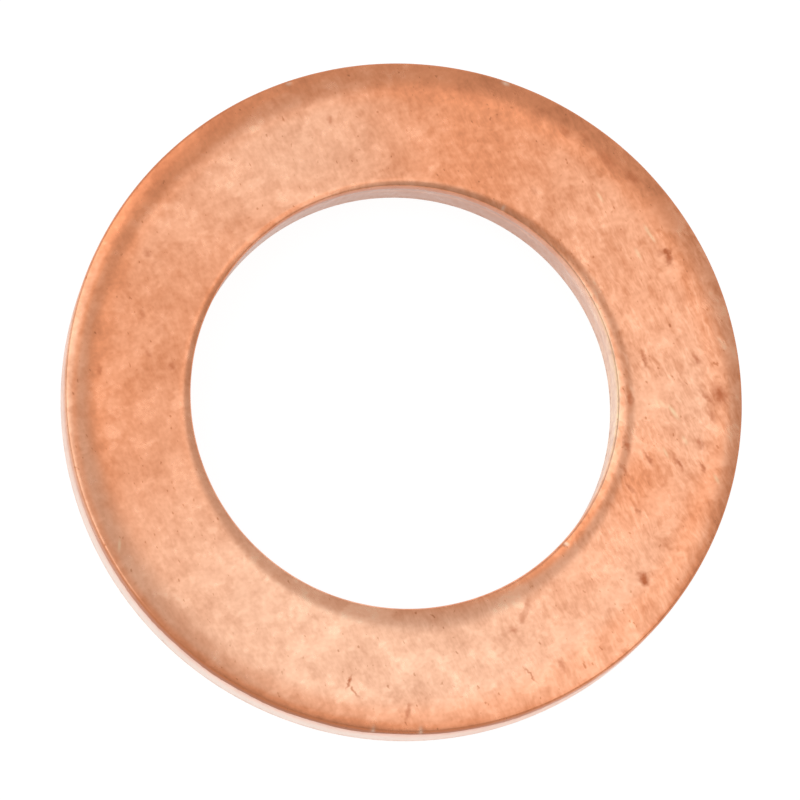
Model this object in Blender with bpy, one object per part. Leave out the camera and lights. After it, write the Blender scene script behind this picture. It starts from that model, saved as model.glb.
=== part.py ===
# Copper crush washer: a flat ring stamped from soft copper sheet, for a bolt of 10 mm.
# Lengths are in metres and +Z is up. The origin is on the ring's axis, at its lower face.
# Both edges of the upper face are rolled over, as a compound die leaves them, and below
# each one the wall has a burnished land, a torn band and a rim that was tumbled blunt.

import math

import bmesh
import bpy

MM = 0.001

# The sizes that name the washer. The bore follows from them: the bolts of a family have
# washers whose ring is equally wide.
OUTER_DIAMETER = 16.0 * MM
RING_WIDTH = 2.97 * MM
BORE_DIAMETER = OUTER_DIAMETER - 2 * RING_WIDTH
THICKNESS = 1.5 * MM

# Roll-over: how far the tools drew the upper face down before the metal sheared. It falls
# off slowly from the flat face and ends in a tight nose above the land.
OUTER_ROLL_WIDTH = 0.80 * MM
OUTER_ROLL_DEPTH = 0.19 * MM
OUTER_NOSE_RADIUS = 0.09 * MM
BORE_ROLL_WIDTH = 0.36 * MM
BORE_ROLL_DEPTH = 0.17 * MM
BORE_NOSE_RADIUS = 0.11 * MM

# Torn band: its height above the lower face, and how far it draws back from the land
OUTER_TORN_HEIGHT = 0.98 * MM
OUTER_TORN_TAPER = 0.03 * MM
BORE_TORN_HEIGHT = 1.04 * MM
BORE_TORN_TAPER = 0.01 * MM

# Rims of the lower face, blunted by tumbling
OUTER_RIM_ROUND = 0.07 * MM
BORE_RIM_ROUND = 0.03 * MM

# How finely the curves are divided
RING_SEGMENTS = 128
ROLL_SEGMENTS = 5
NOSE_SEGMENTS = 4
RIM_SEGMENTS = 3
SHARP_ANGLE = math.radians(24)

# Annealed copper under a thin brown tarnish
COPPER_COLOUR = (0.86, 0.42, 0.27, 1.0)
COPPER_ROUGHNESS = 0.42


def clear_scene():
    for item in list(bpy.data.objects):
        bpy.data.objects.remove(item, do_unlink=True)


def arc(centre, radius, start, end, segments):
    """Points on an arc. Its angles are measured from straight up, towards larger radii."""
    points = []
    for step in range(segments + 1):
        angle = start + (end - start) * step / segments
        across = centre[0] + radius * math.sin(angle)
        height = centre[1] + radius * math.cos(angle)
        points.append((across, height))
    return points


def roll_over(land, side, width, depth, nose):
    """From the upper face over the roll-over to the top of the land, whose radius is land.

    A wide arc leaves the face and a nose meets the land, each tangent to what it joins.
    Side is 1 where the metal falls off outwards and -1 where it falls off into the bore.
    """
    turn = 2 * math.atan((depth - nose) / (width - nose))
    sweep = nose + (width - nose) / math.sin(turn)
    sweep_centre = (land - side * width, THICKNESS - sweep)
    nose_centre = (land - side * nose, THICKNESS - depth)
    points = arc(sweep_centre, sweep, 0, side * turn, ROLL_SEGMENTS)
    points += arc(nose_centre, nose, side * turn, side * math.pi / 2, NOSE_SEGMENTS)[1:]
    return points


def outer_edge():
    """The outer side of the section, from the upper face down to the lower one."""
    land = OUTER_DIAMETER / 2
    rim = land - OUTER_TORN_TAPER
    rim_centre = (rim - OUTER_RIM_ROUND, OUTER_RIM_ROUND)
    points = roll_over(land, 1, OUTER_ROLL_WIDTH, OUTER_ROLL_DEPTH, OUTER_NOSE_RADIUS)
    points.append((land, OUTER_TORN_HEIGHT))
    points += arc(rim_centre, OUTER_RIM_ROUND, math.pi / 2, math.pi, RIM_SEGMENTS)
    return points


def bore_edge():
    """The bore's side of the section, from the lower face up to the upper one."""
    land = BORE_DIAMETER / 2
    rim = land + BORE_TORN_TAPER
    rim_centre = (rim + BORE_RIM_ROUND, BORE_RIM_ROUND)
    points = arc(rim_centre, BORE_RIM_ROUND, math.pi, math.pi * 3 / 2, RIM_SEGMENTS)
    points.append((land, BORE_TORN_HEIGHT))
    roll = roll_over(land, -1, BORE_ROLL_WIDTH, BORE_ROLL_DEPTH, BORE_NOSE_RADIUS)
    points += reversed(roll)
    return points


def copper_material():
    material = bpy.data.materials.new("tarnished_copper")
    material.use_nodes = True
    shader = material.node_tree.nodes["Principled BSDF"]
    shader.inputs["Base Color"].default_value = COPPER_COLOUR
    shader.inputs["Metallic"].default_value = 1.0
    shader.inputs["Roughness"].default_value = COPPER_ROUGHNESS
    material.diffuse_color = COPPER_COLOUR
    return material


def turned_ring(name, section, material):
    """One closed ring, made by turning the section about the Z axis."""
    mesh = bpy.data.meshes.new(name)
    shape = bmesh.new()
    verts = [shape.verts.new((radius, 0, height)) for radius, height in section]
    edges = [
        shape.edges.new((verts[at], verts[(at + 1) % len(verts)]))
        for at in range(len(verts))
    ]
    bmesh.ops.spin(
        shape,
        geom=verts + edges,
        cent=(0, 0, 0),
        axis=(0, 0, 1),
        angle=2 * math.pi,
        steps=RING_SEGMENTS,
        use_merge=True,
    )
    bmesh.ops.recalc_face_normals(shape, faces=shape.faces)
    shape.to_mesh(mesh)
    shape.free()
    mesh.materials.append(material)
    mesh.shade_smooth()
    mesh.set_sharp_from_angle(angle=SHARP_ANGLE)
    ring = bpy.data.objects.new(name, mesh)
    bpy.context.scene.collection.objects.link(ring)
    return ring


def main():
    clear_scene()
    turned_ring("crush_washer", outer_edge() + bore_edge(), copper_material())


main()
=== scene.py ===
import math

import bpy
import numpy as np
from mathutils import Matrix, Vector, noise


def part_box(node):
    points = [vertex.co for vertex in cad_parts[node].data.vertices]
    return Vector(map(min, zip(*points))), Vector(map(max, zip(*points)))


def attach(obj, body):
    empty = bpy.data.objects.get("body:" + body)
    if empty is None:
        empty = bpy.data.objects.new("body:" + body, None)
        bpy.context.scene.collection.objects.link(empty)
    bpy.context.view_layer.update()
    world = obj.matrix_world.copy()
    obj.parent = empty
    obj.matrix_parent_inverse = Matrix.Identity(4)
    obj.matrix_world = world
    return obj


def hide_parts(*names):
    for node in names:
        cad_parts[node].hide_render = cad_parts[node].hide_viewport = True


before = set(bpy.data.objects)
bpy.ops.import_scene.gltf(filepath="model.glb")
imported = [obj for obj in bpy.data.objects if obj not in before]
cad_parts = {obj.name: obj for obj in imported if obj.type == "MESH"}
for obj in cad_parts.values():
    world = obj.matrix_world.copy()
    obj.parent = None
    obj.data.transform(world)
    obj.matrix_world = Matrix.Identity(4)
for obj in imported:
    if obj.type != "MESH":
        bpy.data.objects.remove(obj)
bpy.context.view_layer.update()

mm = 0.001
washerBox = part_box("crush_washer")
outerRadius = washerBox[1][0] / mm
thickness = washerBox[1][2] / mm
print("frame loaded, washer", round(2 * outerRadius, 3), "x", round(thickness, 3), "mm")

# Lengths are in mm and angles in degrees, counted anticlockwise from +X, from above.
stamping = {
    "ringWidth": 2.97,
    "outerRollWidth": 0.80,         # roll-over: wide sweep from the face, then a tight nose
    "outerRollDepth": 0.19,
    "outerNose": 0.09,
    "boreRollWidth": 0.38,
    "boreRollDepth": 0.17,
    "boreNoseShare": 0.64,          # of the depth
    "punchAngle": -65,              # the punch sat off centre and drew more metal down here
    "punchWidth": 0.20,
    "punchDepth": 0.06,
    "burr": (-84, 25, 0.12),        # the punch was blunt: angle, spread, extra width
    "outerTorn": 0.98,              # height of the torn band under each burnished land
    "outerTaper": 0.03,
    "boreTorn": 1.04,
    "boreTornDip": (2, 34, 0.40),   # angle, spread, how much less high it is there
    "outerRim": 0.07,               # tumbled rims of the under face
    "boreRim": 0.03,
    "dish": 0.020,                  # how much lower the outer side of the face lies
    # ripples round the ring: period in mm, amount, seed; a share of the width or the depth,
    # and mm for the torn bands
    "outerWidthRipple": (9, 0.07, 3),
    "outerDepthRipple": (12, 0.05, 4),
    "boreWidthRipple": (7, 0.02, 5),
    "boreDepthRipple": (10, 0.03, 6),
    "outerTornRipples": [(1.6, 0.025, 7), (12, 0.04, 8)],
    "boreTornRipples": [(1.6, 0.012, 9), (12, 0.015, 10)],
    "columns": 760,
    "rows": {"face": 44, "outerSweep": 16, "outerNose": 7, "outerLand": 5, "outerTorn": 8,
             "rim": 3, "under": 13, "boreTorn": 9, "boreLand": 4, "boreNose": 7,
             "boreSweep": 10},
}


def arcRows(centreR, centreZ, radius, start, end, steps):
    # from straight up, turning towards larger radii; one row of points per step
    rows = []
    for step in range(steps + 1):
        angle = start + (end - start) * step / steps
        rows.append((centreR + radius * np.sin(angle), centreZ + radius * np.cos(angle)))
    return rows


def straightRows(first, last, steps):
    # rows strictly between two rows
    return [(first[0] + (last[0] - first[0]) * step / steps,
             first[1] + (last[1] - first[1]) * step / steps) for step in range(1, steps)]


def ripple(angles, period, amount, seed):
    # smooth closed variation round the ring
    rng = np.random.default_rng(seed)
    waves = max(2, int(2 * math.pi * outerRadius / period))
    total = np.zeros_like(angles)
    for wave in range(1, waves + 1):
        total += rng.normal() * np.cos(wave * angles + rng.uniform(0, 2 * math.pi))
    return amount * total / math.sqrt(waves / 2)


def bump(angles, middle, spread, amount=1.0):
    # the full amount at an angle of the ring, falling off to both sides
    away = (np.degrees(angles) - middle + 180) % 360 - 180
    return amount * np.exp(-(away / spread) ** 2)


def bumps(angles, entries):
    return sum(bump(angles, *entry) for entry in entries)


def soft(value, start, full):
    # 0 at the start and beyond, 1 from full on; start may be the larger one
    share = np.clip((value - start) / (full - start), 0, 1)
    return share * share * (3 - 2 * share)


def rollRows(land, side, width, depth, nose, sweepSteps, noseSteps):
    # a roll-over from the face to its land; side is 1 for the outer edge and -1 for the bore
    turn = 2 * np.arctan((depth - nose) / (width - nose))
    sweep = nose + (width - nose) / np.sin(turn)
    top = thickness + 0 * width
    rows = arcRows(land - side * width, top - sweep, sweep, 0 * turn, side * turn, sweepSteps)
    rows += arcRows(land - side * nose, top - depth, nose, side * turn,
                    side * math.pi / 2 + 0 * turn, noseSteps)[1:]
    return rows


def rimRows(wall, side, rounding, steps):
    # from the wall to the under face, or back up for the bore
    rows = arcRows(wall - side * rounding, rounding, rounding,
                   side * math.pi / 2, side * math.pi, steps)
    return rows if side > 0 else rows[::-1]


def washerSection(angles):
    # the section at every angle as rows of points, and the zone that each row is in
    size = stamping
    steps = size["rows"]
    flat = 0 * angles
    outer = outerRadius + flat
    bore = outer - size["ringWidth"]
    offCentre = np.cos(angles - math.radians(size["punchAngle"]))
    outerWidth = size["outerRollWidth"] * (1 + ripple(angles, *size["outerWidthRipple"]))
    outerDepth = size["outerRollDepth"] * (1 + ripple(angles, *size["outerDepthRipple"]))
    boreWidth = size["boreRollWidth"] * (1 + ripple(angles, *size["boreWidthRipple"]))
    boreWidth += size["punchWidth"] * offCentre + bump(angles, *size["burr"])
    boreDepth = size["boreRollDepth"] * (1 + ripple(angles, *size["boreDepthRipple"]))
    boreDepth += size["punchDepth"] * offCentre
    outerTorn = size["outerTorn"] + sum(ripple(angles, *entry) for entry in size["outerTornRipples"])
    boreTorn = size["boreTorn"] + sum(ripple(angles, *entry) for entry in size["boreTornRipples"])
    boreTorn -= bump(angles, *size["boreTornDip"])
    outerRoll = rollRows(outer, 1, outerWidth, outerDepth, size["outerNose"],
                         steps["outerSweep"], steps["outerNose"])
    boreRoll = rollRows(bore, -1, boreWidth, boreDepth, size["boreNoseShare"] * boreDepth,
                        steps["boreSweep"], steps["boreNose"])[::-1]
    outerRim = rimRows(outer - size["outerTaper"], 1, size["outerRim"] + flat, steps["rim"])
    boreRim = rimRows(bore, -1, size["boreRim"] + flat, steps["rim"])
    outerStep = (outer, outerTorn)
    boreStep = (bore, boreTorn)
    bands = [
        ("face", straightRows(boreRoll[-1], outerRoll[0], steps["face"])),
        ("outerRoll", outerRoll),
        ("outerLand", straightRows(outerRoll[-1], outerStep, steps["outerLand"])),
        ("outerTorn", [outerStep] + straightRows(outerStep, outerRim[0], steps["outerTorn"])),
        ("outerRim", outerRim),
        ("under", straightRows(outerRim[-1], boreRim[0], steps["under"])),
        ("boreRim", boreRim),
        ("boreTorn", straightRows(boreRim[-1], boreStep, steps["boreTorn"]) + [boreStep]),
        ("boreLand", straightRows(boreStep, boreRoll[0], steps["boreLand"])),
        ("boreRoll", boreRoll),
    ]
    rows = np.array([row for name, band in bands for row in band])
    zones = np.array([name for name, band in bands for row in band])
    return rows[:, 0], rows[:, 1], zones


# Spots and scratches of the upper face, in mm: middle x and y, direction in degrees, length,
# width, how dark, and how deep.
faceMarks = [
    (5.63, -4.24, -60, 0.30, 0.17, 0.85, 0.006),    # dark pit low on the right
    (6.24, 3.44, -75, 0.30, 0.14, 0.80, 0.005),
    (6.12, 3.58, 20, 0.26, 0.12, 0.45, 0.002),
    (-1.33, -6.84, -105, 0.26, 0.05, 0.70, 0.003),  # hooked scratch
    (-1.19, -7.06, -55, 0.26, 0.05, 0.70, 0.003),
    (0.08, -7.52, 80, 0.30, 0.10, 0.55, 0.003),
    (2.89, -4.97, -110, 0.30, 0.16, 0.45, 0.001),   # orange stains
    (2.76, -5.24, -110, 0.22, 0.12, 0.40, 0.001),
    (2.58, -5.52, 0, 0.16, 0.14, 0.35, 0.001),
    (2.95, -6.56, -50, 0.42, 0.045, 0.60, 0.003),
    (3.71, -6.35, -70, 0.24, 0.12, 0.55, 0.002),
    (5.24, -1.04, -80, 0.34, 0.10, 0.75, 0.003),    # row of dark dents along the bore
    (5.16, -1.62, -60, 0.30, 0.09, 0.60, 0.003),
    (5.33, 0.02, -85, 0.26, 0.12, 0.60, 0.002),
    (5.33, -2.10, -50, 0.26, 0.09, 0.55, 0.003),
    (5.50, -2.62, -55, 0.24, 0.08, 0.50, 0.002),
    (5.74, -1.36, -55, 0.32, 0.08, 0.70, 0.004),
    (6.45, -1.44, -60, 0.34, 0.07, 0.55, 0.003),
    (6.98, -1.00, -75, 0.30, 0.12, 0.55, 0.003),
    (7.02, -1.52, -60, 0.26, 0.07, 0.60, 0.003),
    (5.66, 1.02, -70, 0.30, 0.07, 0.60, 0.003),
    (6.90, 1.05, -60, 0.20, 0.09, 0.50, 0.002),
    (7.44, 0.22, -60, 0.42, 0.26, 0.65, 0.001),     # orange stain at the right edge
    (7.16, 0.10, -50, 0.36, 0.10, 0.50, 0.001),
    (7.26, -0.30, -70, 0.30, 0.12, 0.40, 0.001),
    (3.79, 6.42, -50, 0.30, 0.12, 0.50, 0.002),
    (4.27, 6.31, -40, 0.20, 0.10, 0.45, 0.002),
    (3.05, 5.00, -65, 0.18, 0.10, 0.40, 0.002),
    (4.87, 5.72, -40, 0.50, 0.22, 0.45, 0.001),
    (5.39, 5.35, -45, 0.36, 0.18, 0.50, 0.001),
    (-1.77, 6.56, -70, 0.24, 0.10, 0.40, 0.001),
    (-3.07, 6.93, -60, 0.24, 0.12, 0.40, 0.001),
    (-6.08, 3.29, -60, 0.20, 0.14, 0.40, 0.001),
    (-6.19, 1.82, -80, 0.18, 0.12, 0.35, 0.001),
    (-6.07, 0.90, -60, 0.18, 0.10, 0.40, 0.001),
    (-5.48, 0.58, -60, 0.16, 0.12, 0.40, 0.001),
    (-7.22, 0.46, -70, 0.24, 0.12, 0.45, 0.001),
]

# Fresh thin scratches that shine: x, y, direction, length, width
brightMarks = [
    (6.39, -0.30, -55, 0.24, 0.08),
    (6.09, -0.06, -50, 0.20, 0.07),
    (6.30, -0.18, -52, 0.22, 0.07),
    (5.96, -0.03, -60, 0.18, 0.06),
    (6.62, -0.92, -60, 0.18, 0.07),
    (6.16, -1.22, -62, 0.22, 0.06),
    (7.37, -1.82, -60, 0.20, 0.07),
    (-6.71, -3.69, 88, 0.22, 0.06),
    (5.74, 4.09, -60, 0.22, 0.07),
    (5.86, 3.91, -55, 0.20, 0.06),
    (5.52, 3.52, -62, 0.22, 0.07),
    (4.62, 4.86, -58, 0.22, 0.06),
]

# Bright nicks where an edge was struck: angle, radius, height, length, width, depth
edgeNicks = [
    (-42.0, 5.13, 1.42, 0.06, 0.10, 0.015),
    (62.9, 5.13, 1.42, 0.05, 0.10, 0.012),
    (72.4, 7.93, 1.40, 0.12, 0.07, 0.020),
    (110.2, 7.93, 1.40, 0.09, 0.06, 0.015),
    (-95.3, 7.96, 1.28, 0.06, 0.16, 0.020),
    (-87.2, 7.94, 1.30, 0.07, 0.16, 0.018),
    (-54.7, 7.98, 1.10, 0.14, 0.16, 0.020),
    (-64.5, 7.99, 0.60, 0.10, 0.12, 0.025),
]

surface = {
    "wave": (3.0, 2, 1),        # clouds of the surface: size in mm, octaves, seed
    "peel": (0.5, 3, 2),
    "tear": (0.11, 3, 3),
    "tearSquash": 0.3,          # tears run up and down the wall
    "faceWave": 0.004,          # depths
    "facePeel": 0.0012,
    "underWave": 0.003,
    "underPeel": 0.001,
    "tearDepth": 0.014,
    "tearLevel": 0.6,           # a higher level lets more of the band tear
    "markEdge": 6,              # how steeply a dent or scratch ends
    "nickEdge": 2.5,
    "cloudFall": 1.0,           # each octave is fainter and finer than the one before
    "cloudStep": 2.0,
    "seedShift": (17.3, 5.1, 11.7),
}


def clouds(points, size, octaves, seed):
    shift = Vector([value * seed for value in surface["seedShift"]])
    values = [noise.fractal(Vector(point) / size + shift,
                            surface["cloudFall"], surface["cloudStep"], octaves)
              for point in points.reshape(-1, 3)]
    return np.array(values).reshape(points.shape[:-1])


def gridNormals(points):
    alongRow = np.roll(points, -1, axis=1) - np.roll(points, 1, axis=1)
    alongSection = np.roll(points, -1, axis=0) - np.roll(points, 1, axis=0)
    normals = np.cross(alongSection, alongRow)
    return normals / np.linalg.norm(normals, axis=2, keepdims=True)


def faceMarkDepth(points):
    depth = np.zeros(points.shape[:2])
    for x, y, direction, length, width, darkness, deepest in faceMarks:
        turn = math.radians(direction)
        fromX = points[:, :, 0] - x
        fromY = points[:, :, 1] - y
        along = (fromX * math.cos(turn) + fromY * math.sin(turn)) / length
        across = (fromY * math.cos(turn) - fromX * math.sin(turn)) / width
        depth += deepest * np.exp(-surface["markEdge"] * (along ** 2 + across ** 2))
    return depth


def nickHits(points):
    # how deep the edges were struck, and 1 in the middle of each nick
    sink = np.zeros(points.shape[:2])
    fresh = np.zeros(points.shape[:2])
    for angle, radius, height, length, width, depth in edgeNicks:
        turn = math.radians(angle)
        outward = np.array([math.cos(turn), math.sin(turn), 0])
        sideways = np.array([-math.sin(turn), math.cos(turn), 0])
        away = points - radius * outward - np.array([0, 0, height])
        along = (away @ sideways) / length
        across = np.hypot(away @ outward, away[:, :, 2]) / width
        hit = np.exp(-surface["nickEdge"] * (along ** 2 + across ** 2))
        sink += depth * hit
        fresh = np.maximum(fresh, hit)
    return sink, fresh


def carve(points, normals, radius, zoneOf):
    # the dish, the uneven surface and the marks; also returns where the fresh nicks are
    face = zoneOf["face"] + zoneOf["outerRoll"] + zoneOf["boreRoll"]
    torn = zoneOf["outerTorn"] + zoneOf["boreTorn"]
    wave = clouds(points * np.array([1, 1, 0]), *surface["wave"])
    peel = clouds(points, *surface["peel"])
    tear = clouds(points * np.array([1, 1, surface["tearSquash"]]), *surface["tear"])
    bore = outerRadius - stamping["ringWidth"]
    drop = face * stamping["dish"] * np.clip((radius - bore) / stamping["ringWidth"], 0, 1)
    points = points - drop[:, :, None] * np.array([0, 0, 1])
    sink = face * (surface["faceWave"] * (wave + 1) + surface["facePeel"] * (peel + 1))
    sink += zoneOf["under"] * (surface["underWave"] * (wave + 1) + surface["underPeel"] * (peel + 1))
    sink += torn * surface["tearDepth"] * np.clip(tear + surface["tearLevel"], 0, 2)
    sink += face * faceMarkDepth(points)
    nickDepth, fresh = nickHits(points)
    sink = np.clip(sink + nickDepth, 0, None)
    return points - normals * sink[:, :, None], fresh


# Tarnish across the flat face: angle, its spread in degrees, radius, its reach in mm, amount
faceTarnish = [
    (-178, 34, 6.2, 9.0, 0.76),
    (78, 28, 6.2, 9.0, 0.80),
    (140, 26, 6.2, 9.0, 0.32),
    (-19, 12, 6.2, 9.0, 0.40),
    (-22, 26, 5.8, 0.6, 0.22),
    (26, 28, 6.2, 9.0, 0.48),
    (-46, 22, 6.2, 9.0, 0.30),
    (124, 24, 5.35, 0.45, 0.12),
    (100, 24, 5.7, 1.2, -0.12),
    (-178, 20, 5.7, 0.8, -0.15),
]

# Tarnish of the two rolled edges, with painted shade and painted highlight: angle, its spread, the
# slope where it starts and the one where it is full, amount. From -1 to 0 is the whole edge, and
# where the second slope is the smaller one, it lies on the flatter part only. The entries on a band
# of slopes paint bands of shade and highlight along the edges' curve.
outerTarnishAndLight = [
    (-55, 34, -1, 0, -0.25),
    (18, 30, -1, 0, -0.22),
    (-176, 34, 12, 16, -0.60),      # painted highlight on the left
    (-145, 45, 14, 10, -0.40),
    (-105, 45, 10, 14, 0.30),
    (112, 30, -1, 0, -0.30),
    (132, 26, -1, 0, 0.35),
    (-42, 24, 13, 16, 0.35),
    (132, 30, 10, 14, 0.30),
    (65, 45, -1, 0, 0.35),
]
boreTarnishAndLight = [
    (-110, 40, -1, 0, -0.10),
    (130, 40, -1, 0, 0.25),
    (-120, 60, -1, 0, 0.14),
    (-68, 24, 12, 18, 0.25),
    (165, 40, -1, 0, 0.25),
    (58, 30, -1, 0, 0.40),
    (-40, 24, 12, 18, 0.50),        # only on the sweep
    (-40, 24, 60, 80, -0.50),
    (4, 42, 20, 44, -0.95),         # painted highlight on the nose on the right
    (4, 42, 74, 88, 0.20),
    (-10, 50, 18, 12, 0.30),
]

# Slopes, heights and radii are pairs: where something starts and where it is full. Three
# numbers are an angle, its spread and an amount.
wear = {
    "face": 0.20,               # tarnish of each part, before the lists above
    "outerEdge": 0.92,
    "boreEdge": 0.50,
    "wall": 0.55,
    "wallPolish": (0, 45, 0.65),
    "shoulder": 0.22,           # more of it on the outer side of the face, but for one gap
    "shoulderRadii": (6.9, 7.4),
    "shoulderGap": (-130, 50, 1.0),
    "outerSlopes": (1.5, 10),   # where the edges' tarnish and painted light take over from the face's
    "boreSlopes": (2, 14),
    "upperHeights": (0.6, 1.0),     # and from the wall's
    "tornFade": 0.55,           # the outer torn band is less pale under the land
    "tornFadeHeights": (0.35, 0.98),
    "tornWorn": [(-200, 26, 0.8), (-52, 26, 0.8)],
    "rimTorn": 0.6,             # the tumbled rims take some of the torn bands' colour
    "ridge": 0.35,              # a line in the bore's torn band that tore less
    "ridgeHeight": 0.8,
    "ridgeReach": 0.06,
    "boreTearShadeGap": (0, 36, 0.8),
    "outerLandSlopes": (20, 60),    # the noses take the darker colour of the lands, painted shade over the noses' highlight
    "boreLandSlopes": (45, 80),
    "boreLand": 0.6,            # the bore's land is the fainter one
    "outerLandShadeGap": [(-184, 36, 1.0), (-48, 24, 0.7)],   # where the lands' painted shade is left out, so the lamps' highlights show
    "boreLandShadeGap": [(-2, 55, 1.0)],
    "landShadeGap": 0.9,
    "reliefSlopes": (8, 20),    # drag marks are shallow on the rolled edges
    "reliefLoss": 0.85,
    "dragBase": 0.30,           # drag marks all round, and more of them on the right
    "dragMore": (0, 65, 0.70),
    # painted shade on two sides of the ring
    "sideShade": [(-188, 30, 1.0), (78, 26, 0.8)],
}


def edgeTarnishAndLight(base, entries, angles, slope):
    total = base
    for angle, spread, start, full, amount in entries:
        total = total + bump(angles, angle, spread, amount) * soft(slope, start, full)
    return total


def tarnishAndLightMap(angles, radius, height, slope, outerSide):
    shoulder = wear["shoulder"] * soft(radius, *wear["shoulderRadii"])
    face = wear["face"] + shoulder * (1 - bump(angles, *wear["shoulderGap"]))
    for angle, spread, middle, reach, amount in faceTarnish:
        ring = np.exp(-((radius - middle) / reach) ** 2)
        face = face + bump(angles, angle, spread, amount) * ring
    outer = edgeTarnishAndLight(wear["outerEdge"], outerTarnishAndLight, angles, slope)
    bore = edgeTarnishAndLight(wear["boreEdge"], boreTarnishAndLight, angles, slope)
    edge = np.where(outerSide, outer, bore)
    share = np.where(outerSide, soft(slope, *wear["outerSlopes"]), soft(slope, *wear["boreSlopes"]))
    upper = face + (edge - face) * share
    lower = wear["wall"] - bump(angles, *wear["wallPolish"])
    return lower + (upper - lower) * soft(height, *wear["upperHeights"])


def wearLayers(angles, radius, height, slope, zoneOf):
    # what the copper's material reads at each point of the ring
    outerSide = radius > outerRadius - stamping["ringWidth"] / 2
    outerTorn = 1 - wear["tornFade"] * soft(height, *wear["tornFadeHeights"])
    outerTorn = zoneOf["outerTorn"] * outerTorn * (1 - bumps(angles, wear["tornWorn"]))
    ridge = np.exp(-((height - wear["ridgeHeight"]) / wear["ridgeReach"]) ** 2)
    boreTorn = zoneOf["boreTorn"] * (1 - wear["ridge"] * ridge) + wear["rimTorn"] * zoneOf["boreRim"]
    # the lands' band: burnished metal, partly painted shade
    outerLand = zoneOf["outerLand"] + zoneOf["outerRoll"] * soft(slope, *wear["outerLandSlopes"])
    boreLand = zoneOf["boreLand"] + zoneOf["boreRoll"] * soft(slope, *wear["boreLandSlopes"])
    landShadeGap = np.where(outerSide, bumps(angles, wear["outerLandShadeGap"]),
                      bumps(angles, wear["boreLandShadeGap"]))
    land = outerLand + wear["boreLand"] * boreLand
    return {
        "tornBand": outerTorn + wear["rimTorn"] * zoneOf["outerRim"],
        # painted shade of the bore's torn band and rim, left out towards +X
        "boreTearShade": boreTorn * (1 - bump(angles, *wear["boreTearShadeGap"])),
        "landShadeBand": land * (1 - wear["landShadeGap"] * landShadeGap),
        "flatness": 1 - wear["reliefLoss"] * soft(slope, *wear["reliefSlopes"]),
        "tarnish": tarnishAndLightMap(angles, radius, height, slope, outerSide),
        "dragged": wear["dragBase"] + bump(angles, *wear["dragMore"]),
        "sideShade": bumps(angles, wear["sideShade"]),
    }


def closedMesh(name, points):
    # the rows and the columns of the grid both run round and meet themselves
    rows, columns = points.shape[:2]
    index = np.arange(rows * columns).reshape(rows, columns)
    nextRow = np.roll(index, -1, axis=0)
    quads = np.stack([index, nextRow, np.roll(nextRow, -1, axis=1), np.roll(index, -1, axis=1)],
                     axis=2).reshape(-1, 4)
    mesh = bpy.data.meshes.new(name)
    mesh.from_pydata((points.reshape(-1, 3) * mm).tolist(), [], quads.tolist())
    mesh.update()
    mesh.shade_smooth()
    return mesh


def makeWasher():
    columnAngles = np.linspace(0, 2 * math.pi, stamping["columns"], endpoint=False)
    radius, height, zones = washerSection(columnAngles)
    angles = columnAngles + 0 * radius
    points = np.stack([radius * np.cos(angles), radius * np.sin(angles), height], axis=2)
    zoneOf = {name: (zones == name).astype(float)[:, None] for name in sorted(set(zones))}
    normals = gridNormals(points)
    slope = np.degrees(np.arccos(np.clip(normals[:, :, 2], -1, 1)))
    points, freshNick = carve(points, normals, radius, zoneOf)
    print("surface carved")
    mesh = closedMesh("stamped_ring", points)
    layers = wearLayers(angles, radius, height, slope, zoneOf)
    layers["freshNick"] = freshNick
    for name, values in layers.items():
        layer = mesh.attributes.new(name, "FLOAT", "POINT")
        layer.data.foreach_set("value", np.broadcast_to(values, radius.shape).ravel())
    ring = bpy.data.objects.new("stamped_ring", mesh)
    bpy.context.scene.collection.objects.link(ring)
    return ring


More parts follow.
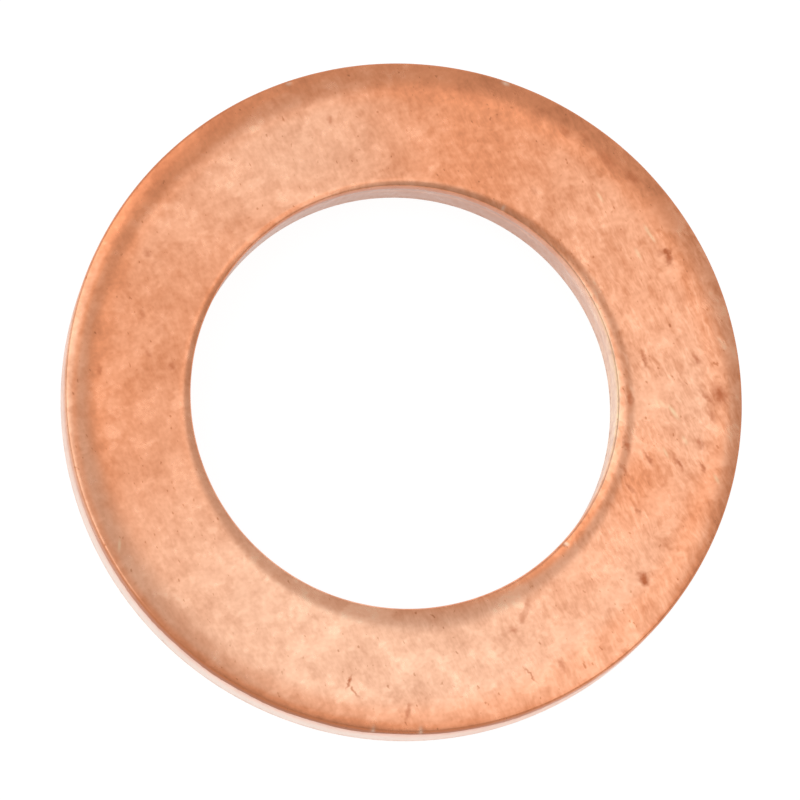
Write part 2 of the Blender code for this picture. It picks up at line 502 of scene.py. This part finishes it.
copper = {
    # bright is also the tone of the painted highlights on the rolled edges
    "bright": (1.0, 0.76, 0.48, 1),     # four tones of the tarnish, from bare metal on
    "clean": (0.985, 0.60, 0.41, 1),
    "tarnish": (0.90, 0.345, 0.17, 1),
    "dark": (0.66, 0.20, 0.085, 1),
    "pit": (0.58, 0.175, 0.075, 1),     # and of the marks and the walls
    # partly painted shade: the lands are burnished, and their darker colour also stands for the
    # shaded bench that they reflect
    "land": (0.74, 0.25, 0.11, 1),
    # painted shade: the bore's torn band is darkened for the shade that falls inside the bore
    "boreTorn": (0.52, 0.25, 0.16, 1),
    "torn": (0.94, 0.77, 0.68, 1),
    "nick": (0.99, 0.70, 0.52, 1),
    "brightAt": -0.6,           # amounts of tarnish at which the four tones are pure
    "cleanAt": 0.0,
    "tarnishAt": 1.0,
    "darkAt": 2.0,
    # noises: where they start, direction, sizes along and across it in mm, detail, roughness
    "cloudNoise": ((0, 0, 0), 0, (1.5, 1.5, 1.5), 4.4, 0.95),
    "dragNoise": ((3, 1, 0), -63, (0.55, 0.15, 0.6), 2.1, 0.8),     # dragged over other washers
    "patchNoise": ((7, 2, 0), 20, (1.1, 0.77, 1.1), 4, 0.6),        # pressed smooth by them
    "poreNoise": ((1, 5, 0), -63, (0.16, 0.10, 0.10), 1, 0.5),
    "clouds": 0.98,             # how much each of them adds to the tarnish
    "drag": 1.0,
    "patch": -0.10,
    "pore": 0.35,
    "patchLevels": (0.52, 0.60),
    "poreLevels": (0.70, 0.80),
    "patchWipes": 0.75,         # how much of the drag marks a patch wipes out
    "dragHeight": 0.004,
    "shade": 0.62,              # how much of the tarnish pattern is dirt, which only darkens
    "shadeBase": 0.97,
    "shadeLimit": 1.12,
    "sideShade": 0.045,              # painted shade that darkens two sides
    "dragShake": (0.6, 0.25),   # how marks get ragged outlines: size and amount, in mm
    "pitShake": (0.12, 0.16),
    "pitSpeckle": 3.0,          # how much the clouds break up a pit or stain
    "pitGain": 1.15,
    "markFade": (2.0, 0.2),     # in half sizes of the mark
    "markHeight": 0.4,
    "shine": 0.40,              # of the fresh scratches
    "landOxide": 0.7,           # the land shines less like metal
    "roughness": 0.30,
    "speckleRough": 0.25,
    "tornRough": 0.12,
    "pitRough": 0.15,
}


def link(tree, source, target):
    tree.links.new(source, target)


def node(tree, kind, **values):
    item = tree.nodes.new(kind)
    for name, value in values.items():
        setattr(item, name, value)
    return item


def mathNode(tree, operation, first, second=None, third=None):
    item = node(tree, "ShaderNodeMath", operation=operation)
    for socket, value in zip(item.inputs, (first, second, third)):
        if value is None:
            continue
        if isinstance(value, (int, float)):
            socket.default_value = value
        else:
            link(tree, value, socket)
    return item.outputs[0]


def mixColour(tree, factor, first, second):
    item = node(tree, "ShaderNodeMix", data_type="RGBA")
    link(tree, factor, item.inputs["Factor"])
    link(tree, first, item.inputs["A"])
    item.inputs["B"].default_value = second
    return item.outputs["Result"]


def attribute(tree, name):
    return node(tree, "ShaderNodeAttribute", attribute_name=name).outputs["Fac"]


def turned(tree, place, middle, direction, size):
    # coordinates that count sizes along and across a direction from a middle, all in mm
    item = node(tree, "ShaderNodeMapping", vector_type="TEXTURE")
    item.inputs["Location"].default_value = [value * mm for value in middle]
    item.inputs["Rotation"].default_value = (0, 0, math.radians(direction))
    item.inputs["Scale"].default_value = [value * mm for value in size]
    link(tree, place, item.inputs["Vector"])
    return item.outputs["Vector"]


def noiseField(tree, place, middle, direction, size, detail, roughness):
    item = node(tree, "ShaderNodeTexNoise")
    item.inputs["Scale"].default_value = 1.0
    item.inputs["Detail"].default_value = detail
    item.inputs["Roughness"].default_value = roughness
    link(tree, turned(tree, place, middle, direction, size), item.inputs["Vector"])
    return item.outputs["Fac"]


def between(tree, value, start, full):
    # 0 at the start and beyond, 1 from full on; start may be the larger one
    item = node(tree, "ShaderNodeMapRange", interpolation_type="SMOOTHSTEP")
    item.inputs["From Min"].default_value = start
    item.inputs["From Max"].default_value = full
    link(tree, value, item.inputs["Value"])
    return item.outputs["Result"]


def markMask(tree, place, mark):
    x, y, direction, length, width = mark[:5]
    halves = (length / 2, width / 2, copper["markHeight"])
    reach = node(tree, "ShaderNodeVectorMath", operation="LENGTH")
    link(tree, turned(tree, place, (x, y, thickness), direction, halves), reach.inputs[0])
    return between(tree, reach.outputs["Value"], *copper["markFade"])


def shakenPlace(tree, place, size, amount):
    # coordinates pushed about, so that marks get ragged outlines
    wander = node(tree, "ShaderNodeTexNoise")
    wander.inputs["Scale"].default_value = 1 / (size * mm)
    wander.inputs["Detail"].default_value = 2
    link(tree, place, wander.inputs["Vector"])
    push = node(tree, "ShaderNodeVectorMath", operation="MULTIPLY_ADD")
    push.inputs[1].default_value = (amount * mm, amount * mm, 0)
    push.inputs[2].default_value = (-amount * mm / 2, -amount * mm / 2, 0)
    link(tree, wander.outputs["Color"], push.inputs[0])
    shaken = node(tree, "ShaderNodeVectorMath", operation="ADD")
    link(tree, push.outputs[0], shaken.inputs[0])
    link(tree, place, shaken.inputs[1])
    return shaken.outputs[0]


def dragStreaks(tree, place, patch):
    # marks of other washers, plainest on the right and wiped out where it was pressed smooth
    shaken = shakenPlace(tree, place, *copper["dragShake"])
    drag = mathNode(tree, "SUBTRACT", noiseField(tree, shaken, *copper["dragNoise"]), 0.5)
    left = mathNode(tree, "MULTIPLY_ADD", patch, -copper["patchWipes"], 1.0)
    return mathNode(tree, "MULTIPLY", drag,
                    mathNode(tree, "MULTIPLY", attribute(tree, "dragged"), left))


def tarnishTone(tree, amount):
    # from bright copper over the clean and tarnished tones to the darkest one
    low = copper["brightAt"]
    high = copper["darkAt"]
    spread = node(tree, "ShaderNodeMapRange")
    spread.inputs["From Min"].default_value = low
    spread.inputs["From Max"].default_value = high
    link(tree, amount, spread.inputs["Value"])
    ramp = node(tree, "ShaderNodeValToRGB")
    stops = ramp.color_ramp.elements
    stops[0].color = copper["bright"]
    stops[1].color = copper["dark"]
    for tone in ("clean", "tarnish"):
        stops.new((copper[tone + "At"] - low) / (high - low)).color = copper[tone]
    link(tree, spread.outputs["Result"], ramp.inputs["Fac"])
    return ramp.outputs["Color"]


# darkens the colour by the dirt of the tarnish pattern and by the painted shade of two sides
def dirtAndSideShade(tree, colour, pattern):
    shade = mathNode(tree, "MULTIPLY_ADD", attribute(tree, "sideShade"), -copper["sideShade"],
                     copper["shadeBase"])
    shade = mathNode(tree, "MULTIPLY_ADD", pattern, -copper["shade"], shade)
    shade = mathNode(tree, "MINIMUM", shade, copper["shadeLimit"])
    shaded = node(tree, "ShaderNodeVectorMath", operation="SCALE")
    link(tree, colour, shaded.inputs[0])
    link(tree, shade, shaded.inputs["Scale"])
    return shaded.outputs[0]


def pitMask(tree, place, speckle):
    loose = shakenPlace(tree, place, *copper["pitShake"])
    darkness = 0.0
    for mark in faceMarks:
        darkness = mathNode(tree, "MULTIPLY_ADD", markMask(tree, loose, mark), mark[5], darkness)
    gain = mathNode(tree, "MULTIPLY_ADD", speckle, copper["pitSpeckle"], copper["pitGain"])
    pit = node(tree, "ShaderNodeClamp")
    link(tree, mathNode(tree, "MULTIPLY", darkness, gain), pit.inputs["Value"])
    return pit.outputs["Result"]


def scratchShine(tree, place):
    shine = 0.0
    for mark in brightMarks:
        shine = mathNode(tree, "MULTIPLY_ADD", markMask(tree, place, mark), copper["shine"], shine)
    return shine


def dragRelief(tree, streak):
    relief = node(tree, "ShaderNodeBump")
    relief.inputs["Strength"].default_value = 1.0
    relief.inputs["Distance"].default_value = 1.0
    height = mathNode(tree, "MULTIPLY", streak, copper["dragHeight"] * mm)
    height = mathNode(tree, "MULTIPLY", height, attribute(tree, "flatness"))
    link(tree, height, relief.inputs["Height"])
    return relief.outputs["Normal"]


def copperMaterial():
    material = bpy.data.materials.new("annealed_copper")
    material.use_nodes = True
    tree = material.node_tree
    shader = tree.nodes["Principled BSDF"]
    place = node(tree, "ShaderNodeTexCoord").outputs["Object"]
    speckle = mathNode(tree, "SUBTRACT", noiseField(tree, place, *copper["cloudNoise"]), 0.5)
    patch = between(tree, noiseField(tree, place, *copper["patchNoise"]), *copper["patchLevels"])
    pore = between(tree, noiseField(tree, place, *copper["poreNoise"]), *copper["poreLevels"])
    streak = dragStreaks(tree, place, patch)
    pattern = mathNode(tree, "MULTIPLY", speckle, copper["clouds"])
    for field, amount in ((streak, "drag"), (patch, "patch"), (pore, "pore")):
        pattern = mathNode(tree, "MULTIPLY_ADD", field, copper[amount], pattern)
    # the tarnish attribute also carries the painted shade and highlights of the rolled edges
    tarnish = mathNode(tree, "ADD", pattern, attribute(tree, "tarnish"))
    colour = dirtAndSideShade(tree, tarnishTone(tree, tarnish), pattern)
    pit = pitMask(tree, place, speckle)
    torn = attribute(tree, "tornBand")
    # the land tone is partly painted shade
    land = attribute(tree, "landShadeBand")
    for amount, tone in ((scratchShine(tree, place), "bright"), (pit, "pit"), (land, "land"),
                         (torn, "torn"), (attribute(tree, "boreTearShade"), "boreTorn"),
                         (attribute(tree, "freshNick"), "nick")):
        colour = mixColour(tree, amount, colour, copper[tone])
    link(tree, colour, shader.inputs["Base Color"])
    metal = mathNode(tree, "MULTIPLY_ADD", land, -copper["landOxide"], 1.0)
    link(tree, metal, shader.inputs["Metallic"])
    shader.inputs["Specular IOR Level"].default_value = 0.0
    rough = copper["roughness"]
    for field, amount in ((speckle, "speckleRough"), (torn, "tornRough"), (pit, "pitRough")):
        rough = mathNode(tree, "MULTIPLY_ADD", field, copper[amount], rough)
    link(tree, rough, shader.inputs["Roughness"])
    link(tree, dragRelief(tree, streak), shader.inputs["Normal"])
    return material


studio = {
    "world": 0.54,
    "worldTilt": (0.02, 0.12, 0.0),     # brighter to one side
    "benchHalf": 1000,
    "floorAlbedo": 0.20,
    "floorGlow": 0.90,          # only what the camera and reflections see of the bench
    # towards: degrees from straight up, to +X and to +Y; halfSize: degrees, as the washer sees it
    "softbox": {"towards": (15, -1), "halfSize": (19, 17), "radiance": 0.69, "distance": 300},
    "sidePanel": {"towards": (-45, 16), "halfSize": (37, 20), "radiance": 0.85, "distance": 300},
    "cornerPanel": {"towards": (36, -34), "halfSize": (14, 13), "radiance": 0.7, "distance": 300},
}


def makeFloor():
    half = studio["benchHalf"] * mm
    mesh = bpy.data.meshes.new("bench")
    mesh.from_pydata([(-half, -half, 0), (half, -half, 0), (half, half, 0), (-half, half, 0)],
                     [], [(0, 1, 2, 3)])
    floor = bpy.data.objects.new("bench", mesh)
    bpy.context.scene.collection.objects.link(floor)
    material = bpy.data.materials.new("pale_bench")
    material.use_nodes = True
    tree = material.node_tree
    tree.nodes.remove(tree.nodes["Principled BSDF"])
    albedo = studio["floorAlbedo"]
    diffuse = node(tree, "ShaderNodeBsdfDiffuse")
    diffuse.inputs["Color"].default_value = (albedo, albedo, albedo, 1)
    path = node(tree, "ShaderNodeLightPath").outputs
    seen = mathNode(tree, "MAXIMUM", path["Is Camera Ray"], path["Is Glossy Ray"])
    seen = mathNode(tree, "MAXIMUM", seen, path["Is Transmission Ray"])
    glow = node(tree, "ShaderNodeEmission")
    link(tree, mathNode(tree, "MULTIPLY", seen, studio["floorGlow"]), glow.inputs["Strength"])
    both = node(tree, "ShaderNodeAddShader")
    link(tree, diffuse.outputs[0], both.inputs[0])
    link(tree, glow.outputs[0], both.inputs[1])
    link(tree, both.outputs[0], tree.nodes["Material Output"].inputs["Surface"])
    mesh.materials.append(material)


def makeWorld():
    # white for the camera, and a plain grey with one brighter side for the washer
    world = bpy.data.worlds.new("studio")
    bpy.context.scene.world = world
    world.use_nodes = True
    tree = world.node_tree
    background = tree.nodes["Background"]
    background.inputs["Color"].default_value = (1, 1, 1, 1)
    across = node(tree, "ShaderNodeVectorMath", operation="DOT_PRODUCT")
    across.inputs[1].default_value = studio["worldTilt"]
    link(tree, node(tree, "ShaderNodeTexCoord").outputs["Generated"], across.inputs[0])
    glow = mathNode(tree, "ADD", across.outputs["Value"], studio["world"])
    level = node(tree, "ShaderNodeMix")
    level.inputs["B"].default_value = 1.0
    link(tree, glow, level.inputs["A"])
    cameraRay = node(tree, "ShaderNodeLightPath").outputs["Is Camera Ray"]
    link(tree, cameraRay, level.inputs["Factor"])
    link(tree, level.outputs["Result"], background.inputs["Strength"])


def studioLamp(name, towards, halfSize, radiance, distance):
    # an area lamp that faces the washer
    away = distance * mm
    place = Vector((math.tan(math.radians(towards[0])), math.tan(math.radians(towards[1])), 1))
    place = place.normalized() * away
    lamp = bpy.data.lights.new(name, "AREA")
    lamp.shape = "RECTANGLE"
    lamp.size = 2 * away * math.tan(math.radians(halfSize[0]))
    lamp.size_y = 2 * away * math.tan(math.radians(halfSize[1]))
    lamp.energy = radiance * math.pi * lamp.size * lamp.size_y
    item = bpy.data.objects.new(name, lamp)
    item.location = place
    item.rotation_euler = (-place).to_track_quat("-Z", "Y").to_euler()
    item.visible_camera = False
    bpy.context.scene.collection.objects.link(item)


view = {
    "distance": 500,
    "tilt": 12.63,              # off straight down
    "azimuth": -120.5,
    "imageSize": 800,
    "sensor": 36,
    "pixelsPerMm": 42.527,      # at the bench
    "axisFoot": (397.13, 407.26),   # pixel where the ring's axis meets the bench
    "clipStart": 10,
}


def makeCamera():
    tilt = math.radians(view["tilt"])
    azimuth = math.radians(view["azimuth"])
    toCamera = Vector((math.sin(tilt) * math.cos(azimuth), math.sin(tilt) * math.sin(azimuth),
                       math.cos(tilt)))
    up = (Vector((0, 1, 0)) - toCamera * toCamera.y).normalized()
    right = up.cross(toCamera)
    middle = (view["imageSize"] - 1) / 2
    shiftRight = (middle - view["axisFoot"][0]) / view["pixelsPerMm"]
    shiftUp = (view["axisFoot"][1] - middle) / view["pixelsPerMm"]
    place = (toCamera * view["distance"] + right * shiftRight + up * shiftUp) * mm
    camera = bpy.data.cameras.new("camera")
    camera.sensor_width = view["sensor"]
    camera.lens = view["sensor"] * view["distance"] * view["pixelsPerMm"] / view["imageSize"]
    camera.clip_start = view["clipStart"] * mm
    item = bpy.data.objects.new("camera", camera)
    turn = Matrix((right, up, toCamera)).transposed().to_4x4()
    item.matrix_world = Matrix.Translation(place) @ turn
    bpy.context.scene.collection.objects.link(item)
    bpy.context.scene.camera = item


ring = makeWasher()
ring.data.materials.append(copperMaterial())
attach(ring, "root")
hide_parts("crush_washer")
print("washer made,", 2 * len(ring.data.polygons), "triangles")

makeFloor()
makeWorld()
studioLamp("softbox", **studio["softbox"])
studioLamp("side_panel", **studio["sidePanel"])
studioLamp("corner_panel", **studio["cornerPanel"])
makeCamera()
bpy.context.scene.view_settings.view_transform = "Standard"
print("studio ready")
